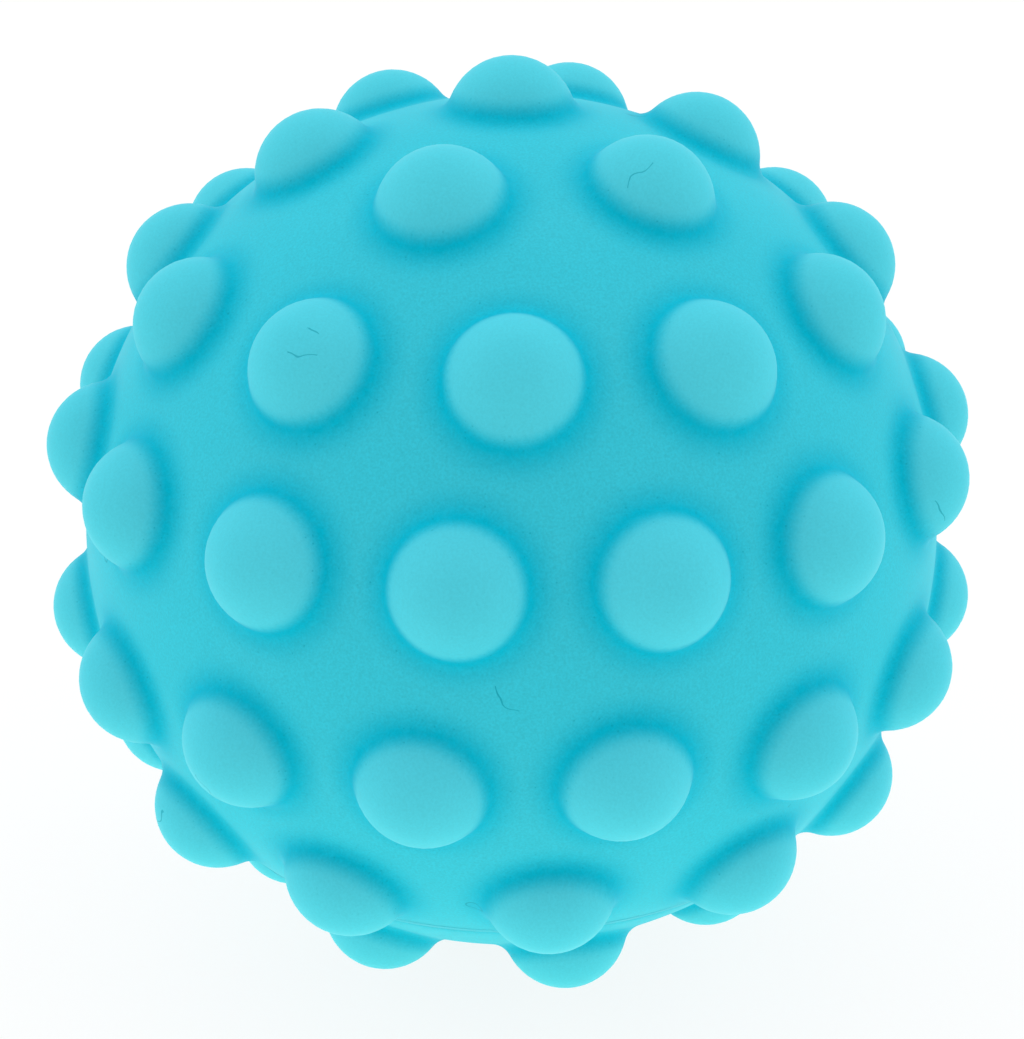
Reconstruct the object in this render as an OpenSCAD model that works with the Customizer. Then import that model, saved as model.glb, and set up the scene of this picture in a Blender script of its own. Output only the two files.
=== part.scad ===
// A nubbed sensory ball for a baby. The soft skin is two mouldings bonded at a lap,
// and a small reed squeaker is pressed into a collar at the bottom.

/* [Skin] */
// Diameter of the ball's skin, without its nubs
body_d = 81; // [70:1:110]
// Thickness of the skin
wall = 2.4; // [1.8:0.1:3.2]

/* [Nubs] */
// Radius of a nub's round top
nub_r = 5.9; // [4.5:0.1:6.2]
// How far a nub's tip stands out of the skin
nub_rise = 4.3; // [3.4:0.1:5.2]
// Radius of the hollow round a nub's foot
foot_r = 2; // [1:0.1:2.4]
// How far the foot's hollow dips into the nub and the skin
foot_dip = 0.06; // [0.04:0.01:0.1]
// How far the lowest nubs are pressed flat where the ball rests
rest_crush = 0.12; // [0.05:0.01:0.3]

/* [Lap joint] */
// Width of the lap, measured along the skin
lap_w = 2.8; // [2:0.1:4]
// Thickness of the bond between the two mouldings
bond_t = 0.06; // [0.03:0.01:0.15]
// Width of the cement bead that fills the joint on the outside
bead_w = 0.9; // [0.6:0.1:1.2]
// Depth of the groove that the bead lies in
bead_d = 0.6; // [0.4:0.05:0.9]
// How far the bead's face lies below the skin
bead_sink = 0.04; // [0.02:0.02:0.2]

/* [Squeaker] */
// Outer radius of the squeaker's barrel
barrel_r = 3.6; // [3.4:0.1:4]
// Wall of the barrel
barrel_wall = 0.7; // [0.5:0.1:0.9]
// How far the flange reaches out from the barrel
flange_reach = 1; // [0.6:0.1:1.4]
// Thickness of the flange and of the vent plate
flange_t = 0.8; // [0.6:0.1:1.1]
// How deep the flange's face lies below the ball's lowest skin
flange_sink = 0.4; // [0.2:0.1:0.8]
// Height of the air chamber behind the vent plate
chamber_h = 0.9; // [0.6:0.1:1.5]
// Radius of the vent hole at the middle
vent_r = 0.6; // [0.4:0.05:0.7]
// Radius of the six vent holes round it
side_vent_r = 0.4; // [0.25:0.05:0.45]
// How far the holding rib stands out of the barrel
rib_reach = 0.4; // [0.2:0.05:0.6]
// Height of the holding rib
rib_h = 1; // [0.6:0.1:1.6]
// Thickness of the collar round the barrel
collar_wall = 2.6; // [1.8:0.1:3]
// Height of the collar above the ball's lowest skin
collar_h = 8; // [7:0.1:9]

/* [Reed] */
// Thickness of the reed block's base
base_t = 1.2; // [0.8:0.1:2]
// Height of the reed block's tower above its base
tower_h = 6.8; // [6.2:0.1:8]
// Width of the air trough in the tower
trough_w = 1.6; // [1.2:0.1:1.8]
// Depth of the air trough
trough_d = 1.6; // [1:0.1:1.8]
// Thickness of the reed
reed_t = 0.12; // [0.08:0.01:0.16]
// Width of the reed
reed_w = 2.2; // [2:0.1:2.6]
// How far the reed's tip stays below the tower's top
reed_tip_gap = 0.3; // [0.2:0.05:0.5]
// How far the reed's root is held between the tower and the wedge
grip_h = 1.6; // [1.2:0.1:2]
// Width of the slot that holds the root
reed_slot = 0.25; // [0.24:0.01:0.3]
// Thickness of the cap on the barrel's inner end
cap_t = 0.8; // [0.6:0.1:1.2]
// How far the cap plugs into the barrel
cap_plug_h = 0.8; // [0.5:0.1:1.2]
// Radius of the cap's air hole
cap_hole_r = 1.3; // [0.9:0.1:1.5]

/* [Hidden] */
// Clearance of a pushed-in plastic piece, on the radius
seat_fit = 0.03;
// Clearance of the soft collar round the rigid barrel
collar_fit = 0.05;
// Clearance between the reed's root and the base under it
reed_lift = 0.1;
// How far a cut runs past the face that it starts from
overrun = 1;

// Rings of nubs from the top down: latitude, nubs in the ring, turn of its first nub, in degrees
rings = [
    [90, 1, 0],
    [63.8, 6, -108.9],
    [39.7, 12, -89.6],
    [16.3, 15, -72.2],
    [-8.6, 15, -76.5],
    [-30.4, 12, -84.6],
    [-54.8, 8, -77.2],
    [-73, 4, -54.4],
];
// Nubs that sit a little off their ring: the ring, the nub's place in it, degrees up, degrees round
strays = [
    [2, 1, -0.4, 0.6],
    [2, 2, 0.3, 1],
    [2, 3, 1.1, 0.6],
    [2, 9, 1, -0.6],
    [2, 10, -0.4, -2.3],
    [2, 11, -0.2, -1.2],
    [3, 2, -0.7, 1.6],
    [3, 12, -0.1, -1.1],
    [4, 0, 0.7, -0.2],
    [4, 2, -0.7, 0.3],
    [4, 3, -0.8, -0.8],
    [4, 11, -1, 1],
    [4, 12, -1.1, -0.2],
    [5, 0, 0.7, 0],
    [5, 2, -0.6, -0.6],
    [5, 10, -0.6, 0.4],
];
// Latitude of the lap's line on the outside of the skin, in degrees
seam_lat = -40.3;
// How far the relaxed reed leans off the tower, in degrees
reed_set = 2.5;
side_vents = 6;

body_r = body_d / 2;
inner_r = body_r - wall;
lap_r = body_r - wall / 2;
nub_d = body_r + nub_rise - nub_r;
rest_lat = rings[len(rings) - 1][0];
ball_z = nub_r - nub_d * sin(rest_lat) - rest_crush;
// The foot's hollow is a ring of round section that rests on the skin and on the nub's dome
foot_skin_d = body_r - foot_dip + foot_r;
foot_dome_d = nub_r - foot_dip + foot_r;
foot_mid_y = (foot_skin_d ^ 2 + nub_d ^ 2 - foot_dome_d ^ 2) / (2 * nub_d);
foot_mid = [sqrt(foot_skin_d ^ 2 - foot_mid_y ^ 2), foot_mid_y];
foot_skin = foot_mid * (body_r - foot_dip) / foot_skin_d;
foot_nub = [0, nub_d] + (foot_mid - [0, nub_d]) * (nub_r - foot_dip) / foot_dome_d;
lap_angle = lap_w / body_r * 180 / PI;
bead_angle = bead_w / body_r * 180 / PI;
reach_r = body_r + nub_rise + overrun;

bore_r = barrel_r - barrel_wall;
flange_r = barrel_r + flange_reach;
rib_r = barrel_r + rib_reach;
shoulder_z = flange_sink + flange_t + chamber_h;
base_top_z = shoulder_z + base_t;
tower_top_z = base_top_z + tower_h;
barrel_top_z = tower_top_z + cap_plug_h;
chamber_r = bore_r - barrel_wall;
side_vent_ring_r = (vent_r + chamber_r) / 2;
rib_z = (collar_h + wall) / 2;
trough_top_z = tower_top_z - barrel_wall;
root_z = base_top_z + reed_lift;
reed_len = tower_h - reed_lift - reed_tip_gap;
pivot_x = reed_slot / 2;
pivot_z = root_z + grip_h / 2;

$fn = 96;

// Moves its children to the ball's middle
module at_middle() {
    translate([0, 0, ball_z]) children();
}

// Moves its children to the lowest point of the skin, under the ball's middle
module at_pole() {
    translate([0, 0, ball_z - body_r]) children();
}

// One nub on the Z axis above the ball's middle: a dome on a foot whose side is hollowed by a ring
module nub() {
    translate([0, 0, nub_d])
        sphere(r = nub_r, $fn = 64);
    rotate_extrude($fn = 64)
        difference() {
            polygon([[0, lap_r], [foot_skin[0], lap_r], foot_skin, foot_nub, [0, nub_d]]);
            translate(foot_mid) circle(r = foot_r, $fn = 48);
        }
}

// How far the nub at one place of a ring sits off it: degrees up, degrees round
function off_ring(n, i) =
    let (found = [for (stray = strays) if (stray[0] == n && stray[1] == i) [stray[2], stray[3]]])
    len(found) > 0 ? found[0] : [0, 0];

// One ring of nubs, round the ball's middle
module nub_ring(n) {
    ring = rings[n];
    for (i = [0 : ring[1] - 1])
        let (off = off_ring(n, i))
            rotate([0, 90 - ring[0] - off[0], ring[2] + off[1] + i * 360 / ring[1]])
                nub();
}

// A hollow ball with the nubs of the rings between two latitudes
module nubbed_skin(lat_low, lat_high) {
    difference() {
        union() {
            sphere(r = body_r);
            for (n = [0 : len(rings) - 1])
                if (rings[n][0] > lat_low && rings[n][0] <= lat_high)
                    nub_ring(n);
        }
        sphere(r = inner_r);
    }
}

// Everything below a latitude of the southern half, as a cone from the ball's middle
module below(lat) {
    mirror([0, 0, 1])
        cylinder(r1 = 0, r2 = reach_r / tan(-lat), h = reach_r);
}

// The space of the lower moulding: below the seam, with a lip that runs up inside the upper one
module lower_space(gap) {
    below(seam_lat);
    intersection() {
        below(seam_lat + lap_angle);
        sphere(r = lap_r + gap);
    }
}

// The groove round the seam, open to the outside
module bead_groove() {
    difference() {
        below(seam_lat + bead_angle / 2);
        below(seam_lat - bead_angle / 2);
        sphere(r = body_r - bead_d);
    }
}

module upper_shell() {
    color("#48c6da")
        at_middle()
            difference() {
                nubbed_skin(seam_lat, 90);
                lower_space(bond_t);
                bead_groove();
            }
}

module base_shell() {
    color("#48c6da")
        difference() {
            union() {
                at_middle()
                    intersection() {
                        nubbed_skin(-90, seam_lat);
                        lower_space(0);
                    }
                at_pole()
                    translate([0, 0, wall / 2])
                        cylinder(r = barrel_r + collar_wall, h = collar_h - wall / 2);
            }
            at_middle() bead_groove();
            at_pole() collar_bore();
            translate([-reach_r, -reach_r, -reach_r])
                cube([2 * reach_r, 2 * reach_r, reach_r]);
        }
}

// What the barrel needs cut out of the collar: its bore, the flange's recess and the rib's groove
module collar_bore() {
    translate([0, 0, -overrun])
        cylinder(r = barrel_r + collar_fit, h = collar_h + 2 * overrun);
    translate([0, 0, -overrun])
        cylinder(r = flange_r + collar_fit, h = overrun + flange_sink + flange_t + collar_fit);
    translate([0, 0, rib_z - rib_h / 2 - collar_fit])
        cylinder(r = rib_r + collar_fit, h = rib_h + 2 * collar_fit);
}

module seam_bead() {
    color("#3dbacf")
        at_middle()
            intersection() {
                bead_groove();
                sphere(r = body_r - bead_sink);
            }
}

module squeaker_barrel() {
    color("#e9eef0")
        at_pole()
            difference() {
                union() {
                    translate([0, 0, flange_sink])
                        cylinder(r = flange_r, h = flange_t);
                    translate([0, 0, flange_sink])
                        cylinder(r = barrel_r, h = barrel_top_z - flange_sink);
                    translate([0, 0, rib_z - rib_h / 2])
                        cylinder(r = rib_r, h = rib_h);
                }
                translate([0, 0, flange_sink + flange_t])
                    cylinder(r = chamber_r, h = chamber_h + overrun);
                translate([0, 0, shoulder_z])
                    cylinder(r = bore_r, h = barrel_top_z - shoulder_z + overrun);
                translate([0, 0, flange_sink - overrun])
                    vents(flange_t + 2 * overrun);
            }
}

// The vent holes of the plate, as pins of the given height
module vents(h) {
    cylinder(r = vent_r, h = h, $fn = 32);
    for (i = [0 : side_vents - 1])
        rotate([0, 0, i * 360 / side_vents])
            translate([side_vent_ring_r, 0, 0])
                cylinder(r = side_vent_r, h = h, $fn = 32);
}

module squeaker_cap() {
    color("#e9eef0")
        at_pole()
            difference() {
                union() {
                    translate([0, 0, barrel_top_z])
                        cylinder(r = barrel_r, h = cap_t);
                    translate([0, 0, tower_top_z])
                        cylinder(r = bore_r - seat_fit, h = cap_plug_h);
                }
                translate([0, 0, tower_top_z - overrun])
                    cylinder(r = cap_hole_r, h = cap_plug_h + cap_t + 2 * overrun);
            }
}

module reed_block() {
    color("#d7dde0")
        at_pole()
            difference() {
                translate([0, 0, shoulder_z])
                    cylinder(r = bore_r - seat_fit, h = tower_top_z - shoulder_z);
                translate([0, -barrel_r, base_top_z])
                    cube([barrel_r, 2 * barrel_r, tower_h + overrun]);
                translate([-trough_d, -trough_w / 2, shoulder_z - overrun])
                    cube([trough_d, trough_w, base_t + 2 * overrun]);
                translate([-trough_d, -trough_w / 2, base_top_z])
                    cube([trough_d + overrun, trough_w, trough_top_z - base_top_z]);
            }
}

module reed_wedge() {
    color("#d7dde0")
        at_pole()
            intersection() {
                translate([0, 0, base_top_z])
                    cylinder(r = bore_r - seat_fit, h = grip_h + reed_lift);
                translate([reed_slot, -barrel_r, base_top_z - overrun])
                    cube([barrel_r, 2 * barrel_r, grip_h + 2 * overrun]);
            }
}

module reed() {
    color("#c9a84a")
        at_pole()
            translate([pivot_x, 0, pivot_z])
                rotate([0, reed_set, 0])
                    translate([-reed_t / 2, -reed_w / 2, -grip_h / 2])
                        cube([reed_t, reed_w, reed_len]);
}

upper_shell();
base_shell();
seam_bead();
squeaker_barrel();
squeaker_cap();
reed_block();
reed_wedge();
reed();
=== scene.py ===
import math

import bmesh
import bpy
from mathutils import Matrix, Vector, geometry


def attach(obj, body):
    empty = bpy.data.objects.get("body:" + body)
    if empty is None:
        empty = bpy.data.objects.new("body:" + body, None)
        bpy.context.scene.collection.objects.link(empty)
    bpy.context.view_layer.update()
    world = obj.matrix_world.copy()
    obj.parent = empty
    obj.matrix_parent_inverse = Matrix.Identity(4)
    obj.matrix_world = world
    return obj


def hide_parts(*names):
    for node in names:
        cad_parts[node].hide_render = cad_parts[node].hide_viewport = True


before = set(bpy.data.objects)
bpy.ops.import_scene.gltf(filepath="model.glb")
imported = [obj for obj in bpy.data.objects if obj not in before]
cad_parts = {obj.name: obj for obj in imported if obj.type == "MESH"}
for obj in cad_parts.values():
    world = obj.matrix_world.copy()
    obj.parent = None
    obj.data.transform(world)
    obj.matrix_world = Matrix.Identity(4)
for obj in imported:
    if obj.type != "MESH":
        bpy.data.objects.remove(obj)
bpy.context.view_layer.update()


# Camera
# It looks at the ball's middle from the photograph's side, about 24 degrees above the horizon.
mm = 0.001
SKIN_R = 40.5 * mm
NUB_R = 5.9 * mm
NUB_RISE = 4.3 * mm
NUB_D = SKIN_R + NUB_RISE - NUB_R
REST_CRUSH = 0.12 * mm
REST_LATITUDE = -73
BALL_MIDDLE = Vector((0, 0, NUB_R - NUB_D * math.sin(math.radians(REST_LATITUDE)) - REST_CRUSH))
CAMERA_REACH = 4.897 * SKIN_R
CAMERA_ELEVATION = math.radians(24.33)
PHOTO_WIDTH_PX = 1024
PHOTO_HEIGHT_PX = 1039
FOCAL_PX = 2040
MIDDLE_PX = (511.5, 519.2)
SENSOR_MM = 36

camera_data = bpy.data.cameras.new("photo_camera")
camera_data.sensor_width = SENSOR_MM
camera_data.lens = SENSOR_MM * FOCAL_PX / PHOTO_HEIGHT_PX
camera_data.shift_x = (PHOTO_WIDTH_PX / 2 - MIDDLE_PX[0]) / PHOTO_HEIGHT_PX
camera_data.shift_y = (MIDDLE_PX[1] - PHOTO_HEIGHT_PX / 2) / PHOTO_HEIGHT_PX
camera_data.clip_start = 1 * mm
camera = bpy.data.objects.new("photo_camera", camera_data)
bpy.context.scene.collection.objects.link(camera)
towards_camera = Vector((0, -math.cos(CAMERA_ELEVATION), math.sin(CAMERA_ELEVATION)))
camera.location = BALL_MIDDLE + CAMERA_REACH * towards_camera
camera.rotation_euler = (-towards_camera).to_track_quat("-Z", "Y").to_euler()
bpy.context.scene.camera = camera


# Soft rubber skin
# The real skin is a matte, slightly dusty soft rubber, moulded and self-coloured turquoise. Its gloss is
# a faint white veil over a very pure colour, and talc left from the mould makes a fine, dark-flecked grain.
def linear(hex_colour):
    """Linear RGBA of an sRGB hex colour."""
    channels = [int(hex_colour[i : i + 2], 16) / 255 for i in (1, 3, 5)]
    return [c / 12.92 if c <= 0.04045 else ((c + 0.055) / 1.055) ** 2.4 for c in channels] + [1]


def add_node(tree, kind, inputs=(), **settings):
    """Adds a node, sets its properties, and gives each input in turn its value or its link. A Mix node of
    colours has them in inputs 6 and 7, and its result in output 2."""
    made = tree.nodes.new(kind)
    for name, value in settings.items():
        setattr(made, name, value)
    for name, value in dict(inputs).items():
        if isinstance(value, bpy.types.NodeSocket):
            tree.links.new(value, made.inputs[name])
        else:
            made.inputs[name].default_value = value
    return made


def new_material(name):
    """An empty material's tree, with the material and its output node."""
    material = bpy.data.materials.new(name)
    material.use_nodes = True
    material.node_tree.nodes.clear()
    return material, material.node_tree, add_node(material.node_tree, "ShaderNodeOutputMaterial")


def moulded_rubber(name, skin_colour, nub_colour, foot_shade_colour, fleck_colour):
    """Soft matte rubber from a blasted mould: painted shade in the hollows round the nubs' feet, paler nubs
    that are partly pale powder and partly painted light on their tops, dark flecks caught in the hollows,
    and a few threads of lint."""
    NOISE_LOW = 0.3
    NOISE_HIGH = 0.7
    FLECK_MM = 0.5
    FLECKLESS_SHARE = 0.8
    FLECK_ON_SKIN = 0.25
    FLECK_IN_HOLLOW = 3.0
    LINT_MIDDLE = 0.5
    LINT_THICK = 0.008
    LINT_APART_MM = 13
    LINT_REACH_MM = 1.6
    LINT_SHOWN = 0.6
    material, tree, output = new_material(name)
    place = add_node(tree, "ShaderNodeTexCoord").outputs["Object"]
    hollow = add_node(tree, "ShaderNodeAttribute", attribute_name="hollow").outputs["Fac"]
    height = add_node(tree, "ShaderNodeAttribute", attribute_name="height").outputs["Fac"]

    # Patterns: size in millimetres, detail, roughness. The real grain of about 0.05 mm is too fine to show,
    # so it is drawn at 0.2 mm.
    patterns = {}
    for pattern, size_mm, detail, roughness in (
        ("grain", 0.2, 1.0, 0.6),
        ("mottle", 0.9, 3.0, 0.6),
        ("cloud", 11, 3.0, 0.5),
        ("lint curl", 3.5, 1.0, 0.5),
    ):
        noise = add_node(tree, "ShaderNodeTexNoise",
                         {"Vector": place, "Scale": 1 / (size_mm * mm), "Detail": detail,
                          "Roughness": roughness})
        patterns[pattern] = noise.outputs["Fac"]

    # What the patterns sway, and between which two values.
    swayed = {}
    for use, pattern, low, high in (
        ("powder_and_top_light", "cloud", -0.12, 0.12),
        ("hollow edge", "mottle", 0.9, 1.1),
        ("grain", "grain", -1.0, 1.0),
        ("roughness", "grain", 0.55, 0.68),
    ):
        sway = add_node(tree, "ShaderNodeMapRange",
                        {"Value": patterns[pattern], "From Min": NOISE_LOW, "From Max": NOISE_HIGH,
                         "To Min": low, "To Max": high})
        swayed[use] = sway.outputs["Result"]

    # The rubber's colour: paler on the nubs, partly pale powder and partly painted light on their tops, and
    # painted shade in the hollows round their feet, with a lighter and darker grain.
    # Partly painted light: the nubs grow paler with height, as if their open tops caught more light; the
    # rest is pale powder.
    on_nub = add_node(tree, "ShaderNodeMapRange", {"Value": height, "From Min": 0.1, "From Max": 0.45},
                      interpolation_type="SMOOTHSTEP").outputs["Result"]
    powder_and_top_light = add_node(tree, "ShaderNodeMath", {0: on_nub, 1: swayed["powder_and_top_light"]},
                     operation="ADD", use_clamp=True)
    nubbed = add_node(tree, "ShaderNodeMix", {"Factor": powder_and_top_light.outputs[0], 6: linear(skin_colour),
                                              7: linear(nub_colour)}, data_type="RGBA")
    # Painted shade: the darker foot colour laid over the hollow round each nub's foot.
    hollowed = add_node(tree, "ShaderNodeMath", {0: hollow, 1: swayed["hollow edge"]},
                        operation="MULTIPLY", use_clamp=True)
    footed = add_node(tree, "ShaderNodeMix", {"Factor": hollowed.outputs[0], 6: nubbed.outputs[2],
                                              7: linear(foot_shade_colour)}, data_type="RGBA")
    grain_depth = add_node(tree, "ShaderNodeMapRange", {"Value": on_nub, "To Min": 0.07, "To Max": 0.035})
    speckle = add_node(tree, "ShaderNodeMath",
                       {0: swayed["grain"], 1: grain_depth.outputs["Result"], 2: 1.0},
                       operation="MULTIPLY_ADD")
    speckled = add_node(tree, "ShaderNodeVectorMath", {0: footed.outputs[2], "Scale": speckle.outputs[0]},
                        operation="SCALE")

    # Dark flecks in a fifth of the cells, most of all where they catch in a hollow.
    fleck = add_node(tree, "ShaderNodeTexVoronoi",
                     {"Vector": place, "Scale": 1 / (FLECK_MM * mm), "Randomness": 1.0})
    fleck_dot = add_node(tree, "ShaderNodeMapRange",
                         {"Value": fleck.outputs["Distance"], "From Min": 0.05, "From Max": 0.22,
                          "To Min": 0.55, "To Max": 0.0})
    fleck_pick = add_node(tree, "ShaderNodeSeparateColor", {"Color": fleck.outputs["Color"]})
    fleck_rare = add_node(tree, "ShaderNodeMath", {0: fleck_pick.outputs["Red"], 1: FLECKLESS_SHARE},
                          operation="GREATER_THAN")
    fleck_mask = add_node(tree, "ShaderNodeMath", {0: fleck_dot.outputs["Result"], 1: fleck_rare.outputs[0]},
                          operation="MULTIPLY")
    caught = add_node(tree, "ShaderNodeMath", {0: hollow, 1: FLECK_IN_HOLLOW, 2: FLECK_ON_SKIN},
                      operation="MULTIPLY_ADD", use_clamp=True)
    fleck_caught = add_node(tree, "ShaderNodeMath", {0: fleck_mask.outputs[0], 1: caught.outputs[0]},
                            operation="MULTIPLY")

    # Lint: a contour line of a slow noise, only near a few scattered spots.
    thread = add_node(tree, "ShaderNodeMath", {0: patterns["lint curl"], 1: LINT_MIDDLE, 2: LINT_THICK},
                      operation="COMPARE")
    lint_spot = add_node(tree, "ShaderNodeTexVoronoi",
                         {"Vector": place, "Scale": 1 / (LINT_APART_MM * mm), "Randomness": 1.0})
    lint_near = add_node(tree, "ShaderNodeMath",
                         {0: lint_spot.outputs["Distance"], 1: LINT_REACH_MM / LINT_APART_MM},
                         operation="LESS_THAN")
    lint = add_node(tree, "ShaderNodeMath", {0: thread.outputs[0], 1: lint_near.outputs[0]},
                    operation="MULTIPLY")
    lint_shown = add_node(tree, "ShaderNodeMath", {0: lint.outputs[0], 1: LINT_SHOWN}, operation="MULTIPLY")
    marked = add_node(tree, "ShaderNodeMath", {0: fleck_caught.outputs[0], 1: lint_shown.outputs[0]},
                      operation="MAXIMUM")
    flecked = add_node(tree, "ShaderNodeMix", {"Factor": marked.outputs[0], 6: speckled.outputs[0],
                                               7: linear(fleck_colour)}, data_type="RGBA")

    # A wide, weak gloss with the pale veil of powder that shows where the skin turns away.
    bump = add_node(tree, "ShaderNodeBump",
                    {"Strength": 0.15, "Distance": 0.015 * mm, "Height": patterns["grain"]})
    surface = add_node(tree, "ShaderNodeBsdfPrincipled",
                       {"Base Color": flecked.outputs[2], "Roughness": swayed["roughness"], "IOR": 1.41,
                        "Specular IOR Level": 0.05, "Sheen Weight": 0.22, "Sheen Roughness": 0.3,
                        "Sheen Tint": linear("#B4EEF7"), "Normal": bump.outputs["Normal"]})
    tree.links.new(surface.outputs["BSDF"], output.inputs["Surface"])
    return material


# The foot colour is painted shade for the nubs' hollows, and the paler nub colour is partly painted light on
# their tops.
turquoise_rubber = moulded_rubber("turquoise_soft_rubber", "#36BED1", "#4DC7D8", "#00B1CA", "#0090A6")


# Upper shell
# The larger moulding of the skin, from the top down to the seam, with its nubs moulded in one with it.
# Rings of nubs from the top down: latitude, nubs in the ring, turn of its first nub, in degrees.
NUB_RINGS = (
    (90, 1, 0),
    (63.8, 6, -108.9),
    (39.7, 12, -89.6),
    (16.3, 15, -72.2),
    (-8.6, 15, -76.5),
    (-30.4, 12, -84.6),
    (-54.8, 8, -77.2),
    (REST_LATITUDE, 4, -54.4),
)
# Nubs that sit a little off their ring: ring and place in it, degrees up and degrees round.
NUB_STRAYS = {
    (2, 1): (-0.4, 0.6), (2, 2): (0.3, 1), (2, 3): (1.1, 0.6), (2, 9): (1, -0.6),
    (2, 10): (-0.4, -2.3), (2, 11): (-0.2, -1.2), (3, 2): (-0.7, 1.6), (3, 12): (-0.1, -1.1),
    (4, 0): (0.7, -0.2), (4, 2): (-0.7, 0.3), (4, 3): (-0.8, -0.8), (4, 11): (-1, 1),
    (4, 12): (-1.1, -0.2), (5, 0): (0.7, 0), (5, 2): (-0.6, -0.6), (5, 10): (-0.6, 0.4),
}
WALL = 2.4 * mm
FOOT_R = 2.0 * mm
SEAM_LATITUDE = -40.3
LAP_W = 2.8 * mm
BOND_T = 0.06 * mm
BEAD_W = 0.9 * mm
BEAD_D = 0.6 * mm
EDGE_R = 0.02 * mm
INNER_R = SKIN_R - WALL
LAP_R = SKIN_R - WALL / 2
LAP_LATITUDE = SEAM_LATITUDE + math.degrees(LAP_W / SKIN_R)
BEAD_HALF = math.degrees(BEAD_W / SKIN_R) / 2

# The net of points that the skin is knitted from, and how far its parts keep clear of each other.
NET_STEP = 0.85 * mm
RING_POINTS = 44
SEAM_POINTS = 360
OUTER_RING_OUT = 0.5 * mm
RING_TO_EDGE = 0.25 * mm
SCATTER_TO_EDGE = 0.8 * NET_STEP
SCATTER_TO_RING = 0.4 * NET_STEP

# The painted shade in the hollow round a nub, by distance from the nub's axis.
HOLLOW_START = 4.7 * mm
HOLLOW_MIDDLE = 5.8 * mm
HOLLOW_END = 8.4 * mm
HOLLOW_FADE = 1.35

# The foot of a nub is an arc that touches the skin and the dome.
foot_up = ((SKIN_R + FOOT_R) ** 2 + NUB_D**2 - (NUB_R + FOOT_R) ** 2) / (2 * NUB_D)
foot_across = math.sqrt((SKIN_R + FOOT_R) ** 2 - foot_up**2)
foot_edge = math.atan2(foot_across, foot_up)
dome_turn = math.atan2(foot_across, foot_up - NUB_D)
dome_edge = math.atan2(NUB_R * math.sin(dome_turn), NUB_D + NUB_R * math.cos(dome_turn))


def direction(latitude, azimuth):
    """Unit vector at a latitude and an azimuth in degrees."""
    up, turn = math.radians(latitude), math.radians(azimuth)
    return Vector((math.cos(up) * math.cos(turn), math.cos(up) * math.sin(turn), math.sin(up)))


def nub_axes(low, high):
    """Unit vectors through the nubs of the rings between two latitudes."""
    axes = []
    for ring, (latitude, count, turn) in enumerate(NUB_RINGS):
        for i in range(count):
            up, sideways = NUB_STRAYS.get((ring, i), (0, 0))
            if low < latitude <= high:
                axes.append(direction(latitude + up, turn + sideways + i * 360 / count))
    return axes


def circle_of(latitude, radius, count):
    """Points of a level circle round the ball's axis, from the ball's middle."""
    return [direction(latitude, i * 360 / count) * radius for i in range(count)]


def nub_angles():
    """Angles off a nub's axis at which its dome and its foot get a ring of points, and how many points."""
    DOME_RINGS = 11
    FOOT_RINGS = 7
    FEWEST_POINTS = 6
    rings = []
    for i in range(1, DOME_RINGS + 1):
        turn = dome_turn * i / DOME_RINGS
        angle = math.atan2(NUB_R * math.sin(turn), NUB_D + NUB_R * math.cos(turn))
        rings.append((angle, max(FEWEST_POINTS, round(RING_POINTS * angle / dome_edge))))
    start = dome_turn + math.pi
    end = math.pi + foot_edge
    for i in range(1, FOOT_RINGS + 1):
        turn = start + (end - start) * i / FOOT_RINGS
        x = foot_across + FOOT_R * math.sin(turn)
        y = foot_up + FOOT_R * math.cos(turn)
        rings.append((math.atan2(x, y), RING_POINTS))
    rings.append((foot_edge + OUTER_RING_OUT / SKIN_R, RING_POINTS))
    return rings


def net_points(axes, low, high, edges):
    """Directions spread over the skin between two latitudes: circles at its edges (latitude, points, drop
    below the skin), rings round each nub, and an even scatter between them."""
    rings = nub_angles()
    neighbour = math.cos(3 * foot_edge)
    clear_of_rings = math.cos(rings[-1][0] + SCATTER_TO_RING / SKIN_R)
    ring_gap = RING_TO_EDGE / SKIN_R
    scatter_gap = SCATTER_TO_EDGE / SKIN_R
    points = []
    for latitude, count, drop in edges:
        points += circle_of(latitude, 1 - drop / SKIN_R, count)

    def inside(p, gap):
        up = math.asin(max(-1, min(1, p.z)))
        above = low == -90 or up > math.radians(low) + gap
        below = high == 90 or up < math.radians(high) - gap
        return above and below

    for axis in axes:
        side = axis.orthogonal().normalized()
        other = axis.cross(side)
        near = [a for a in axes if a is not axis and a.dot(axis) > neighbour]
        if inside(axis, ring_gap):
            points.append(axis.copy())
        for angle, count in rings:
            for i in range(count):
                turn = i * math.tau / count
                p = (axis * math.cos(angle)
                     + (side * math.cos(turn) + other * math.sin(turn)) * math.sin(angle))
                if inside(p, ring_gap) and all(p.dot(a) < p.dot(axis) for a in near):
                    points.append(p)
    total = round(4 * math.pi * SKIN_R**2 / (NET_STEP**2 * math.sqrt(3) / 2))
    golden = math.pi * (3 - math.sqrt(5))
    for i in range(total):
        z = 1 - (2 * i + 1) / total
        flat = math.sqrt(1 - z * z)
        p = Vector((flat * math.cos(golden * i), flat * math.sin(golden * i), z))
        if inside(p, scatter_gap) and all(p.dot(a) < clear_of_rings for a in axes):
            points.append(p)
    return points


def knit(points, pole):
    """Triangles between unit vectors, by flattening the sphere from the pole that the net leaves open."""
    WHOLE_HULL = 0
    SAME_POINT = 1e-7
    flat = [Vector((p.x, p.y)) / (1 + pole * p.z) for p in points]
    _, _, faces, origins, *_ = geometry.delaunay_2d_cdt(flat, [], [], WHOLE_HULL, SAME_POINT)
    return [[origins[i][0] for i in face] for face in faces]


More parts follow.
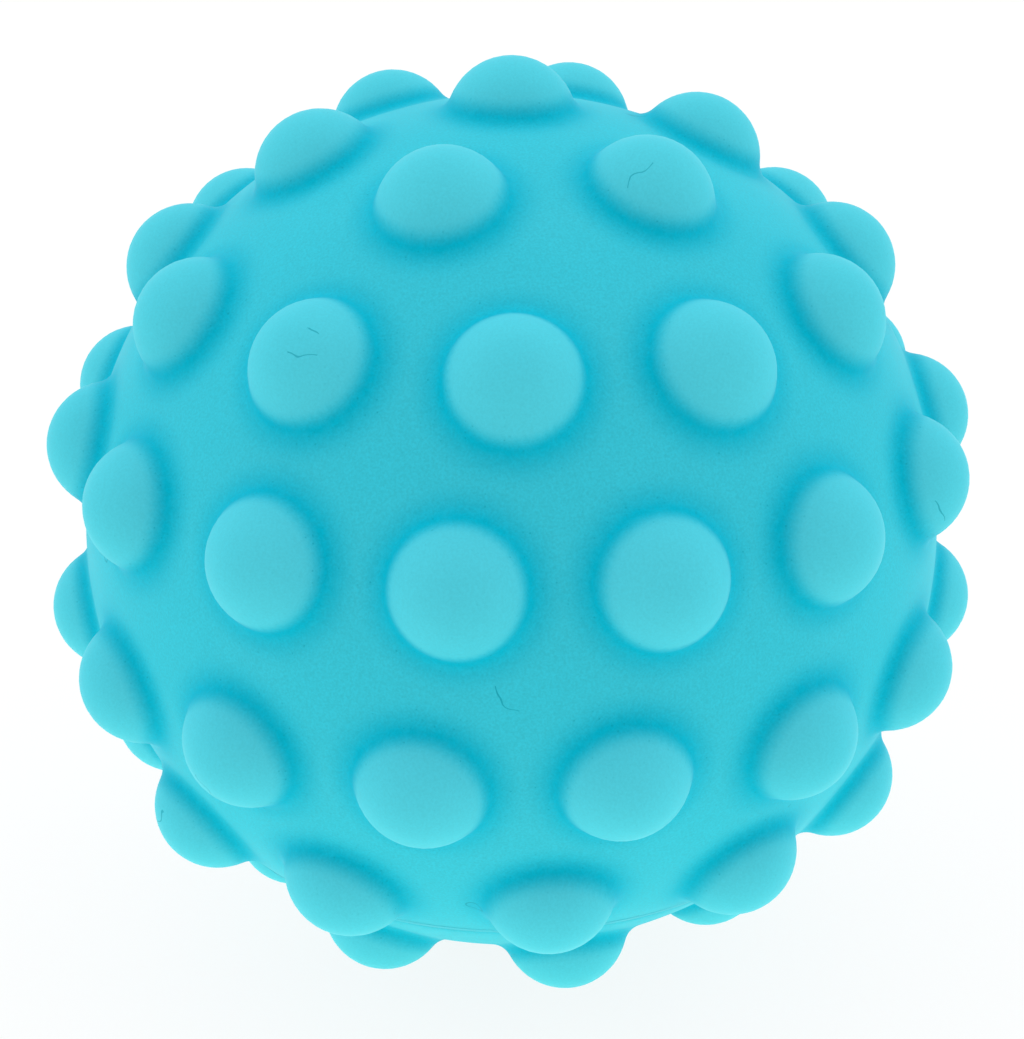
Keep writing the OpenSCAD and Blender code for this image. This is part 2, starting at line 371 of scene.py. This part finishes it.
class Skin:
    """A shell's mesh as it grows: nets of triangles joined by bands round the ball's axis."""

    def __init__(self):
        self.bm = bmesh.new()
        self.axis_layer = self.bm.verts.layers.float_vector.new("nub_axis")

    def circle(self, points):
        return [self.bm.verts.new(p) for p in points]

    def net(self, points, pole, radius, axes, skip=(), level=0):
        """Adds a net and returns its vertices. Each point learns which nub is nearest, but the first ones,
        as many as level says, stay level with the skin. A face between skipped points is left out."""
        verts = self.circle([p * radius for p in points])
        skipped = set(skip)
        for face in knit(points, pole):
            if not skipped.issuperset(face):
                self.bm.faces.new([verts[i] for i in face])
        if axes:
            for vert, p in zip(verts[level:], points[level:]):
                vert[self.axis_layer] = max(axes, key=p.dot)
        return verts

    def band(self, one, two):
        """Joins two circles of as many points with a band of faces."""
        for i in range(len(one)):
            self.bm.faces.new([one[i - 1], one[i], two[i], two[i - 1]])

    def bands(self, circles):
        for one, two in zip(circles, circles[1:]):
            self.band(one, two)

    def finished(self, name):
        bmesh.ops.recalc_face_normals(self.bm, faces=self.bm.faces)
        for v in self.bm.verts:
            v.co += BALL_MIDDLE
        mesh = bpy.data.meshes.new(name)
        self.bm.to_mesh(mesh)
        self.bm.free()
        made = bpy.data.objects.new(name, mesh)
        bpy.context.scene.collection.objects.link(made)
        return made


def nub_tree():
    """Geometry nodes that raise the nubs: each point of the skin moves out to the dome or the foot of its
    nub, and learns its place in the hollow and its height."""
    SIZES = ("Nub radius", "Nub distance", "Foot radius", "Foot across", "Foot up", "Dome edge", "Foot edge",
             "Skin radius", "Hollow start", "Hollow middle", "Hollow end", "Hollow fade")
    LOWEST_PLACE = (-1.0, -1.0, 0.0)
    tree = bpy.data.node_groups.new("raise_nubs", "GeometryNodeTree")
    tree.interface.new_socket("Geometry", in_out="INPUT", socket_type="NodeSocketGeometry")
    for size in SIZES:
        tree.interface.new_socket(size, in_out="INPUT", socket_type="NodeSocketFloat")
    tree.interface.new_socket("Ball middle", in_out="INPUT", socket_type="NodeSocketVector")
    tree.interface.new_socket("Material", in_out="INPUT", socket_type="NodeSocketMaterial")
    tree.interface.new_socket("Geometry", in_out="OUTPUT", socket_type="NodeSocketGeometry")
    given = add_node(tree, "NodeGroupInput").outputs
    position = add_node(tree, "GeometryNodeInputPosition").outputs[0]
    axis = add_node(tree, "GeometryNodeInputNamedAttribute", {"Name": "nub_axis"},
                    data_type="FLOAT_VECTOR").outputs["Attribute"]
    from_middle = add_node(tree, "ShaderNodeVectorMath", {0: position, 1: given["Ball middle"]},
                           operation="SUBTRACT").outputs["Vector"]
    outward = add_node(tree, "ShaderNodeVectorMath", {0: from_middle},
                       operation="NORMALIZE").outputs["Vector"]
    reach = add_node(tree, "ShaderNodeVectorMath", {0: from_middle}, operation="LENGTH").outputs["Value"]
    cosine = add_node(tree, "ShaderNodeVectorMath", {0: outward, 1: axis},
                      operation="DOT_PRODUCT").outputs["Value"]

    # Where a ray from the ball's middle meets the dome, and where it meets the arc of the foot.
    terms = {size: given[size] for size in SIZES}
    terms["cosine"] = cosine
    for name, operation, *values in (
        ("cosine squared", "MULTIPLY", "cosine", "cosine"),
        ("sine squared", "SUBTRACT", 1.0, "cosine squared"),
        ("sine", "SQRT", "sine squared"),
        ("nub squared", "MULTIPLY", "Nub radius", "Nub radius"),
        ("distance squared", "MULTIPLY", "Nub distance", "Nub distance"),
        ("nub less distance", "SUBTRACT", "nub squared", "distance squared"),
        ("dome along", "MULTIPLY", "Nub distance", "cosine"),
        ("dome along squared", "MULTIPLY", "dome along", "dome along"),
        ("dome half squared", "ADD", "dome along squared", "nub less distance"),
        ("dome half", "SQRT", "dome half squared"),
        ("dome", "ADD", "dome along", "dome half"),
        ("across share", "MULTIPLY", "Foot across", "sine"),
        ("up share", "MULTIPLY", "Foot up", "cosine"),
        ("foot along", "ADD", "across share", "up share"),
        ("across squared", "MULTIPLY", "Foot across", "Foot across"),
        ("up squared", "MULTIPLY", "Foot up", "Foot up"),
        ("far squared", "ADD", "across squared", "up squared"),
        ("foot squared", "MULTIPLY", "Foot radius", "Foot radius"),
        ("far less foot", "SUBTRACT", "far squared", "foot squared"),
        ("foot along squared", "MULTIPLY", "foot along", "foot along"),
        ("foot half squared", "SUBTRACT", "foot along squared", "far less foot"),
        ("foot half", "SQRT", "foot half squared"),
        ("foot", "SUBTRACT", "foot along", "foot half"),
        ("on dome", "GREATER_THAN", "cosine", "Dome edge"),
        ("on foot", "GREATER_THAN", "cosine", "Foot edge"),
        ("cosine at most one", "MINIMUM", "cosine", 1.0),
        ("off axis", "ARCCOSINE", "cosine at most one"),
        ("top", "ADD", "Nub distance", "Nub radius"),
        ("whole rise", "SUBTRACT", "top", "Skin radius"),
    ):
        inputs = {i: terms.get(value, value) for i, value in enumerate(values)}
        terms[name] = add_node(tree, "ShaderNodeMath", inputs, operation=operation).outputs[0]

    foot_or_skin = add_node(tree, "GeometryNodeSwitch",
                            {"Switch": terms["on foot"], "False": reach, "True": terms["foot"]},
                            input_type="FLOAT").outputs[0]
    raised = add_node(tree, "GeometryNodeSwitch",
                      {"Switch": terms["on dome"], "False": foot_or_skin, "True": terms["dome"]},
                      input_type="FLOAT").outputs[0]
    moved = add_node(tree, "ShaderNodeVectorMath", {0: outward, "Scale": raised},
                     operation="SCALE").outputs["Vector"]
    placed = add_node(tree, "ShaderNodeVectorMath", {0: moved, 1: given["Ball middle"]},
                      operation="ADD").outputs["Vector"]
    rested = add_node(tree, "ShaderNodeVectorMath", {0: placed, 1: LOWEST_PLACE},
                      operation="MAXIMUM").outputs["Vector"]
    nubbed = add_node(tree, "GeometryNodeSetPosition", {"Geometry": given["Geometry"], "Position": rested})

    # The two measures that the rubber's colours read: the hollow round a nub, where its shade is painted,
    # and the height above the skin, which makes the nubs paler, partly as painted light.
    deepening = add_node(tree, "ShaderNodeMapRange",
                         {"Value": terms["off axis"], "From Min": given["Hollow start"],
                          "From Max": given["Hollow middle"]},
                         interpolation_type="SMOOTHSTEP").outputs["Result"]
    fading = add_node(tree, "ShaderNodeMapRange",
                      {"Value": terms["off axis"], "From Min": given["Hollow middle"],
                       "From Max": given["Hollow end"], "To Min": 1.0, "To Max": 0.0}).outputs["Result"]
    faded = add_node(tree, "ShaderNodeMath", {0: fading, 1: given["Hollow fade"]},
                     operation="POWER").outputs[0]
    hollow = add_node(tree, "ShaderNodeMath", {0: deepening, 1: faded}, operation="MULTIPLY").outputs[0]
    rise = add_node(tree, "ShaderNodeMath", {0: raised, 1: given["Skin radius"]},
                    operation="SUBTRACT").outputs[0]
    share = add_node(tree, "ShaderNodeMath", {0: rise, 1: terms["whole rise"]},
                     operation="DIVIDE").outputs[0]
    height = add_node(tree, "ShaderNodeMath", {0: share, 1: 0.0}, operation="MAXIMUM").outputs[0]
    with_hollow = add_node(tree, "GeometryNodeStoreNamedAttribute",
                           {"Geometry": nubbed.outputs[0], "Name": "hollow", "Value": hollow})
    with_height = add_node(tree, "GeometryNodeStoreNamedAttribute",
                           {"Geometry": with_hollow.outputs[0], "Name": "height", "Value": height})
    smooth = add_node(tree, "GeometryNodeSetShadeSmooth",
                      {"Geometry": with_height.outputs[0], "Shade Smooth": True})
    real = add_node(tree, "GeometryNodeRealizeInstances", {"Geometry": smooth.outputs[0]})
    painted = add_node(tree, "GeometryNodeSetMaterial",
                       {"Geometry": real.outputs[0], "Material": given["Material"]})
    add_node(tree, "NodeGroupOutput", {"Geometry": painted.outputs[0]})
    return tree


def grown(blank, tree, values):
    """Runs a geometry tree on an object with the named values, and leaves the result as its plain mesh."""
    modifier = blank.modifiers.new(tree.name, "NODES")
    modifier.node_group = tree
    for item in tree.interface.items_tree:
        if item.item_type == "SOCKET" and item.in_out == "INPUT" and item.name in values:
            modifier[item.identifier] = values[item.name]
    mesh = bpy.data.meshes.new_from_object(blank.evaluated_get(bpy.context.evaluated_depsgraph_get()))
    blank.modifiers.remove(modifier)
    mesh.name = blank.name
    blank.data = mesh
    return blank


def rounded_edge(latitude, side, count):
    """Circles that round a lip of the skin over: latitude, points and drop, from the lip inwards."""
    STEPS = (0, 0.15, 0.45, 1)
    return [(latitude + side * math.degrees(step * EDGE_R / SKIN_R), count,
             EDGE_R * (1 - math.sqrt(1 - (1 - step) ** 2))) for step in STEPS]


NUB_VALUES = {
    "Nub radius": NUB_R, "Nub distance": NUB_D, "Foot radius": FOOT_R, "Foot across": foot_across,
    "Foot up": foot_up, "Dome edge": math.cos(dome_edge), "Foot edge": math.cos(foot_edge),
    "Skin radius": SKIN_R, "Hollow start": HOLLOW_START / SKIN_R, "Hollow middle": HOLLOW_MIDDLE / SKIN_R,
    "Hollow end": HOLLOW_END / SKIN_R, "Hollow fade": HOLLOW_FADE, "Ball middle": BALL_MIDDLE,
    "Material": turquoise_rubber,
}
raise_nubs = nub_tree()
upper_axes = nub_axes(SEAM_LATITUDE, 90)
upper_lip = SEAM_LATITUDE + BEAD_HALF
upper = Skin()
upper_circles = rounded_edge(upper_lip, 1, SEAM_POINTS)
upper_points = net_points(upper_axes, upper_lip, 90, upper_circles)
upper_out = upper.net(upper_points, 1, SKIN_R, upper_axes, level=len(upper_circles) * SEAM_POINTS)
upper_in = upper.net(circle_of(LAP_LATITUDE, 1, SEAM_POINTS) + net_points([], LAP_LATITUDE, 90, []),
                     1, INNER_R, [])
upper.bands([
    upper_out[:SEAM_POINTS],
    upper.circle(circle_of(upper_lip, SKIN_R - BEAD_D, SEAM_POINTS)),
    upper.circle(circle_of(SEAM_LATITUDE, SKIN_R - BEAD_D, SEAM_POINTS)),
    upper.circle(circle_of(SEAM_LATITUDE, LAP_R + BOND_T, SEAM_POINTS)),
    upper.circle(circle_of(LAP_LATITUDE, LAP_R + BOND_T, SEAM_POINTS)),
    upper_in[:SEAM_POINTS],
])
upper_skin = grown(upper.finished("upper_skin"), raise_nubs, NUB_VALUES)
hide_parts("upper_shell")
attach(upper_skin, "ball")


# Base shell
# The smaller moulding, below the seam, with a lip bonded inside the upper one and a collar for the squeaker.
# The nubs that it stands on are pressed a little flat.
BARREL_R = 3.6 * mm
COLLAR_R = BARREL_R + 2.6 * mm
COLLAR_H = 8 * mm
FLANGE_R = BARREL_R + 1 * mm
FLANGE_TOP = 1.2 * mm
RIB_R = BARREL_R + 0.4 * mm
RIB_H = 1 * mm
COLLAR_FIT = 0.05 * mm
POLE_POINTS = 96

base_axes = nub_axes(-90, SEAM_LATITUDE)
base_lip = SEAM_LATITUDE - BEAD_HALF
recess_r = FLANGE_R + COLLAR_FIT
recess_latitude = -math.degrees(math.acos(recess_r / SKIN_R))
collar_latitude = -math.degrees(math.acos(COLLAR_R / INNER_R))
rib_middle = (COLLAR_H + WALL) / 2
groove_half = RIB_H / 2 + COLLAR_FIT


def flat_circle(radius, height):
    """A level circle round the axis, at a height above the lowest point of the skin."""
    return [Vector((radius * math.cos(a), radius * math.sin(a), height - SKIN_R))
            for a in (i * math.tau / POLE_POINTS for i in range(POLE_POINTS))]


base = Skin()
lip_circles = rounded_edge(base_lip, -1, SEAM_POINTS)
mouth_circles = rounded_edge(recess_latitude, 1, POLE_POINTS)
base_points = net_points(base_axes, recess_latitude, base_lip, lip_circles + mouth_circles)
mouth_start = len(lip_circles) * SEAM_POINTS
mouth = range(mouth_start, mouth_start + POLE_POINTS)
base_out = base.net(base_points, -1, SKIN_R, base_axes, skip=mouth, level=mouth_start)
base_in = base.net(circle_of(LAP_LATITUDE, 1, SEAM_POINTS) + circle_of(collar_latitude, 1, POLE_POINTS)
                   + net_points([], collar_latitude, LAP_LATITUDE, []), -1, INNER_R, [],
                   skip=range(SEAM_POINTS, SEAM_POINTS + POLE_POINTS))
base.bands([
    base_out[:SEAM_POINTS],
    base.circle(circle_of(base_lip, SKIN_R - BEAD_D, SEAM_POINTS)),
    base.circle(circle_of(SEAM_LATITUDE, SKIN_R - BEAD_D, SEAM_POINTS)),
    base.circle(circle_of(SEAM_LATITUDE, LAP_R, SEAM_POINTS)),
    base.circle(circle_of(LAP_LATITUDE, LAP_R, SEAM_POINTS)),
    base_in[:SEAM_POINTS],
])
bore_r = BARREL_R + COLLAR_FIT
rib_r = RIB_R + COLLAR_FIT
base.bands([
    base_out[mouth_start : mouth_start + POLE_POINTS],
    base.circle(flat_circle(recess_r, FLANGE_TOP + COLLAR_FIT)),
    base.circle(flat_circle(bore_r, FLANGE_TOP + COLLAR_FIT)),
    base.circle(flat_circle(bore_r, rib_middle - groove_half)),
    base.circle(flat_circle(rib_r, rib_middle - groove_half)),
    base.circle(flat_circle(rib_r, rib_middle + groove_half)),
    base.circle(flat_circle(bore_r, rib_middle + groove_half)),
    base.circle(flat_circle(bore_r, COLLAR_H)),
    base.circle(flat_circle(COLLAR_R, COLLAR_H)),
    base_in[SEAM_POINTS : SEAM_POINTS + POLE_POINTS],
])
base_skin = grown(base.finished("base_skin"), raise_nubs, NUB_VALUES)
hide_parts("base_shell")
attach(base_skin, "ball")


# Seam bead
# Bonding cement that has squeezed out of the lap and cured in its groove, a touch below the skin. It is the
# same colour as the skin, a little darker and glossier, and a ring of one section follows the seam.
BEAD_SINK = 0.02 * mm
BEAD_ROUND = 0.01 * mm
BEAD_ROUND_STEPS = 3


def cured_cement():
    """Clear-drying rubber cement, tinted by the skin: smoother than the moulded rubber, with slow waves."""
    WAVE_MM = 3.5
    material, tree, output = new_material("cured_rubber_cement")
    place = add_node(tree, "ShaderNodeTexCoord").outputs["Object"]
    wave = add_node(tree, "ShaderNodeTexNoise",
                    {"Vector": place, "Scale": 1 / (WAVE_MM * mm), "Detail": 3.0, "Roughness": 0.5})
    shade = add_node(tree, "ShaderNodeMix", {"Factor": wave.outputs["Fac"], 6: linear("#2DB6CB"),
                                             7: linear("#36BED1")}, data_type="RGBA")
    bump = add_node(tree, "ShaderNodeBump",
                    {"Strength": 0.5, "Distance": 0.05 * mm, "Height": wave.outputs["Fac"]})
    surface = add_node(tree, "ShaderNodeBsdfPrincipled",
                       {"Base Color": shade.outputs[2], "Roughness": 0.5, "IOR": 1.5,
                        "Specular IOR Level": 0.1, "Normal": bump.outputs["Normal"]})
    tree.links.new(surface.outputs["BSDF"], output.inputs["Surface"])
    return material


def bead_tree():
    """Geometry nodes that lay a rounded section round a level circle."""
    tree = bpy.data.node_groups.new("lay_bead", "GeometryNodeTree")
    tree.interface.new_socket("Geometry", in_out="INPUT", socket_type="NodeSocketGeometry")
    for size in ("Ring radius", "Ring height", "Section width", "Section depth", "Section round",
                 "Section turn"):
        tree.interface.new_socket(size, in_out="INPUT", socket_type="NodeSocketFloat")
    for count in ("Ring points", "Round steps"):
        tree.interface.new_socket(count, in_out="INPUT", socket_type="NodeSocketInt")
    tree.interface.new_socket("Material", in_out="INPUT", socket_type="NodeSocketMaterial")
    tree.interface.new_socket("Geometry", in_out="OUTPUT", socket_type="NodeSocketGeometry")
    given = add_node(tree, "NodeGroupInput").outputs
    ring = add_node(tree, "GeometryNodeCurvePrimitiveCircle",
                    {"Radius": given["Ring radius"], "Resolution": given["Ring points"]})
    lift = add_node(tree, "ShaderNodeCombineXYZ", {"Z": given["Ring height"]})
    lifted = add_node(tree, "GeometryNodeTransform",
                      {"Geometry": ring.outputs["Curve"], "Translation": lift.outputs[0]})
    tilted = add_node(tree, "GeometryNodeSetCurveTilt",
                      {"Curve": lifted.outputs[0], "Tilt": given["Section turn"]})
    section = add_node(tree, "GeometryNodeCurvePrimitiveQuadrilateral",
                       {"Width": given["Section depth"], "Height": given["Section width"]})
    rounded = add_node(tree, "GeometryNodeFilletCurve",
                       {"Curve": section.outputs["Curve"], "Radius": given["Section round"],
                        "Count": given["Round steps"]}, mode="POLY")
    laid = add_node(tree, "GeometryNodeCurveToMesh",
                    {"Curve": tilted.outputs[0], "Profile Curve": rounded.outputs[0]})
    smooth = add_node(tree, "GeometryNodeSetShadeSmooth",
                      {"Geometry": laid.outputs[0], "Shade Smooth": True})
    real = add_node(tree, "GeometryNodeRealizeInstances", {"Geometry": smooth.outputs[0]})
    painted = add_node(tree, "GeometryNodeSetMaterial",
                       {"Geometry": real.outputs[0], "Material": given["Material"]})
    add_node(tree, "NodeGroupOutput", {"Geometry": painted.outputs[0]})
    return tree


bead_mid = SKIN_R - (BEAD_D + BEAD_SINK) / 2
bead_mid_at = direction(SEAM_LATITUDE, 0) * bead_mid + BALL_MIDDLE
bead_blank = bpy.data.objects.new("seam_ring", bpy.data.meshes.new("seam_ring"))
bpy.context.scene.collection.objects.link(bead_blank)
seam_ring = grown(bead_blank, bead_tree(), {
    "Ring radius": bead_mid_at.x, "Ring height": bead_mid_at.z, "Section width": BEAD_W,
    "Section depth": BEAD_D - BEAD_SINK, "Section round": BEAD_ROUND,
    "Section turn": -math.radians(SEAM_LATITUDE), "Ring points": SEAM_POINTS,
    "Round steps": BEAD_ROUND_STEPS, "Material": cured_cement(),
})
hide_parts("seam_bead")
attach(seam_ring, "ball")


# Squeaker
# A barrel with a vented plate and a pressed-in cap, moulded in natural polyethylene, holds a block, a wedge
# and a brass reed. It sits in the collar, a little inside the skin, and squeaks when air leaves the ball.
def moulded_plastic(name, colour, dark_colour, roughness):
    """Moulded plastic: an even colour with slow flow shading, and the fine texture of an eroded mould."""
    FLOW_MM = 4
    EROSION_MM = 0.12
    ROUGHNESS_SWAY = 0.06
    material, tree, output = new_material(name)
    place = add_node(tree, "ShaderNodeTexCoord").outputs["Object"]
    flow = add_node(tree, "ShaderNodeTexNoise",
                    {"Vector": place, "Scale": 1 / (FLOW_MM * mm), "Detail": 2.0, "Distortion": 0.8})
    erosion = add_node(tree, "ShaderNodeTexNoise",
                       {"Vector": place, "Scale": 1 / (EROSION_MM * mm), "Detail": 2.0})
    shade = add_node(tree, "ShaderNodeMix", {"Factor": flow.outputs["Fac"], 6: linear(colour),
                                             7: linear(dark_colour)}, data_type="RGBA")
    rough = add_node(tree, "ShaderNodeMapRange",
                     {"Value": erosion.outputs["Fac"], "To Min": roughness - ROUGHNESS_SWAY,
                      "To Max": roughness + ROUGHNESS_SWAY})
    bump = add_node(tree, "ShaderNodeBump",
                    {"Strength": 0.25, "Distance": 0.01 * mm, "Height": erosion.outputs["Fac"]})
    surface = add_node(tree, "ShaderNodeBsdfPrincipled",
                       {"Base Color": shade.outputs[2], "Roughness": rough.outputs["Result"],
                        "IOR": 1.51, "Subsurface Weight": 0.15, "Subsurface Radius": (0.6 * mm,) * 3,
                        "Subsurface Scale": 1.0, "Normal": bump.outputs["Normal"]})
    tree.links.new(surface.outputs["BSDF"], output.inputs["Surface"])
    return material


def rolled_brass():
    """Thin rolled brass strip: warm metal with fine lines along its length and a few duller patches."""
    LINE_MM = 0.05
    LINE_STRETCH = (1.0, 1.0, 0.04)
    PATCH_MM = 1.5
    material, tree, output = new_material("rolled_brass_strip")
    place = add_node(tree, "ShaderNodeTexCoord").outputs["Object"]
    stretched = add_node(tree, "ShaderNodeMapping", {"Vector": place, "Scale": LINE_STRETCH})
    lines = add_node(tree, "ShaderNodeTexNoise",
                     {"Vector": stretched.outputs[0], "Scale": 1 / (LINE_MM * mm), "Detail": 2.0})
    patch = add_node(tree, "ShaderNodeTexNoise",
                     {"Vector": place, "Scale": 1 / (PATCH_MM * mm), "Detail": 3.0})
    shade = add_node(tree, "ShaderNodeMix", {"Factor": patch.outputs["Fac"], 6: linear("#E3C26B"),
                                             7: linear("#C9A453")}, data_type="RGBA")
    rough = add_node(tree, "ShaderNodeMapRange",
                     {"Value": lines.outputs["Fac"], "To Min": 0.22, "To Max": 0.42})
    bump = add_node(tree, "ShaderNodeBump",
                    {"Strength": 0.2, "Distance": 0.004 * mm, "Height": lines.outputs["Fac"]})
    surface = add_node(tree, "ShaderNodeBsdfPrincipled",
                       {"Base Color": shade.outputs[2], "Metallic": 1.0,
                        "Roughness": rough.outputs["Result"], "Normal": bump.outputs["Normal"]})
    tree.links.new(surface.outputs["BSDF"], output.inputs["Surface"])
    return material


natural_polyethylene = moulded_plastic("natural_polyethylene", "#E6EAE9", "#DBE0DF", 0.38)
grey_acetal = moulded_plastic("pale_grey_acetal", "#D2D7DA", "#C5CBCF", 0.45)
brass = rolled_brass()
for node_name, finish in (
    ("squeaker_barrel", natural_polyethylene),
    ("squeaker_cap", natural_polyethylene),
    ("reed_block", grey_acetal),
    ("reed_wedge", grey_acetal),
    ("reed", brass),
):
    for slot in bpy.data.objects[node_name].material_slots:
        slot.material = finish


# Studio
# A pale floor in a white light tent, with soft light from both sides, above and behind, and up through the
# floor round the ball. The tent is open in front and dimmer there.
OPEN_SIDE_UP = math.radians(10)
TENT_SIDES = 1.52
TENT_FRONT = 0.44
TENT_BACK_SHARE = 0.6
TABLE_LIGHT_FULL = 30 * mm
TABLE_LIGHT_END = 140 * mm
TABLE_LIGHT_NEAR = 0.85
TABLE_LIGHT_FAR = 0.2
FLOOR_WHITE = 0.86
FLOOR_HALF = 3.0
WHITE = (1, 1, 1, 1)

world = bpy.data.worlds.new("white_room")
world.use_nodes = True
world.node_tree.nodes.clear()
room = world.node_tree
rays = add_node(room, "ShaderNodeLightPath").outputs
seen_or_glossy = add_node(room, "ShaderNodeMath", {0: rays["Is Camera Ray"], 1: rays["Is Glossy Ray"]},
                          operation="MAXIMUM")
shows_backdrop = add_node(room, "ShaderNodeMath",
                          {0: seen_or_glossy.outputs[0], 1: rays["Is Transmission Ray"]},
                          operation="MAXIMUM")
outwards = add_node(room, "ShaderNodeTexCoord").outputs["Generated"]
open_side = (0.0, -math.cos(OPEN_SIDE_UP), math.sin(OPEN_SIDE_UP))
to_open_side = add_node(room, "ShaderNodeVectorMath", {0: outwards, 1: open_side},
                        operation="DOT_PRODUCT").outputs["Value"]
front_level = add_node(room, "ShaderNodeMapRange",
                       {"Value": to_open_side, "From Min": 0.2, "From Max": 0.95, "To Min": TENT_SIDES,
                        "To Max": TENT_FRONT}, interpolation_type="SMOOTHSTEP")
back_level = add_node(room, "ShaderNodeMapRange",
                      {"Value": to_open_side, "From Min": -0.3, "From Max": -1.0, "To Min": 1.0,
                       "To Max": TENT_BACK_SHARE})
tent_level = add_node(room, "ShaderNodeMath",
                      {0: front_level.outputs["Result"], 1: back_level.outputs["Result"]},
                      operation="MULTIPLY")
lamp = add_node(room, "ShaderNodeBackground", {"Color": WHITE, "Strength": tent_level.outputs[0]})
backdrop = add_node(room, "ShaderNodeBackground", {"Color": WHITE, "Strength": 1.0})
mixed = add_node(room, "ShaderNodeMixShader",
                 {0: shows_backdrop.outputs[0], 1: lamp.outputs[0], 2: backdrop.outputs[0]})
add_node(room, "ShaderNodeOutputWorld", {"Surface": mixed.outputs[0]})
bpy.context.scene.world = world

floor_material, floor_tree, floor_output = new_material("pale_floor")
camera_ray = add_node(floor_tree, "ShaderNodeLightPath").outputs["Is Camera Ray"]
floor_spot = add_node(floor_tree, "ShaderNodeNewGeometry").outputs
paper = add_node(floor_tree, "ShaderNodeBsdfDiffuse", {"Color": linear("#F4F4F4")})
from_ball = add_node(floor_tree, "ShaderNodeVectorMath", {0: floor_spot["Position"]},
                     operation="LENGTH").outputs["Value"]
table_light = add_node(floor_tree, "ShaderNodeMapRange",
                       {"Value": from_ball, "From Min": TABLE_LIGHT_FULL, "From Max": TABLE_LIGHT_END,
                        "To Min": TABLE_LIGHT_NEAR, "To Max": TABLE_LIGHT_FAR})
under_light = add_node(floor_tree, "ShaderNodeEmission",
                       {"Color": linear("#FFF3D8"), "Strength": table_light.outputs["Result"]})
lit_paper = add_node(floor_tree, "ShaderNodeAddShader", {0: paper.outputs[0], 1: under_light.outputs[0]})
white = add_node(floor_tree, "ShaderNodeEmission", {"Color": WHITE, "Strength": 1.0})
seen_paper = add_node(floor_tree, "ShaderNodeMixShader",
                      {0: FLOOR_WHITE, 1: paper.outputs[0], 2: white.outputs[0]})
upper_face = add_node(floor_tree, "ShaderNodeMixShader",
                      {0: camera_ray, 1: lit_paper.outputs[0], 2: seen_paper.outputs[0]})
under_face = add_node(floor_tree, "ShaderNodeBsdfTransparent")
sided = add_node(floor_tree, "ShaderNodeMixShader",
                 {0: floor_spot["Backfacing"], 1: upper_face.outputs[0], 2: under_face.outputs[0]})
floor_tree.links.new(sided.outputs[0], floor_output.inputs["Surface"])
floor_mesh = bpy.data.meshes.new("floor")
floor_mesh.from_pydata([(-FLOOR_HALF, -FLOOR_HALF, 0), (FLOOR_HALF, -FLOOR_HALF, 0),
                        (FLOOR_HALF, FLOOR_HALF, 0), (-FLOOR_HALF, FLOOR_HALF, 0)], [], [(0, 1, 2, 3)])
floor_mesh.materials.append(floor_material)
floor = bpy.data.objects.new("floor", floor_mesh)
bpy.context.scene.collection.objects.link(floor)

bpy.context.scene.view_settings.view_transform = "Standard"
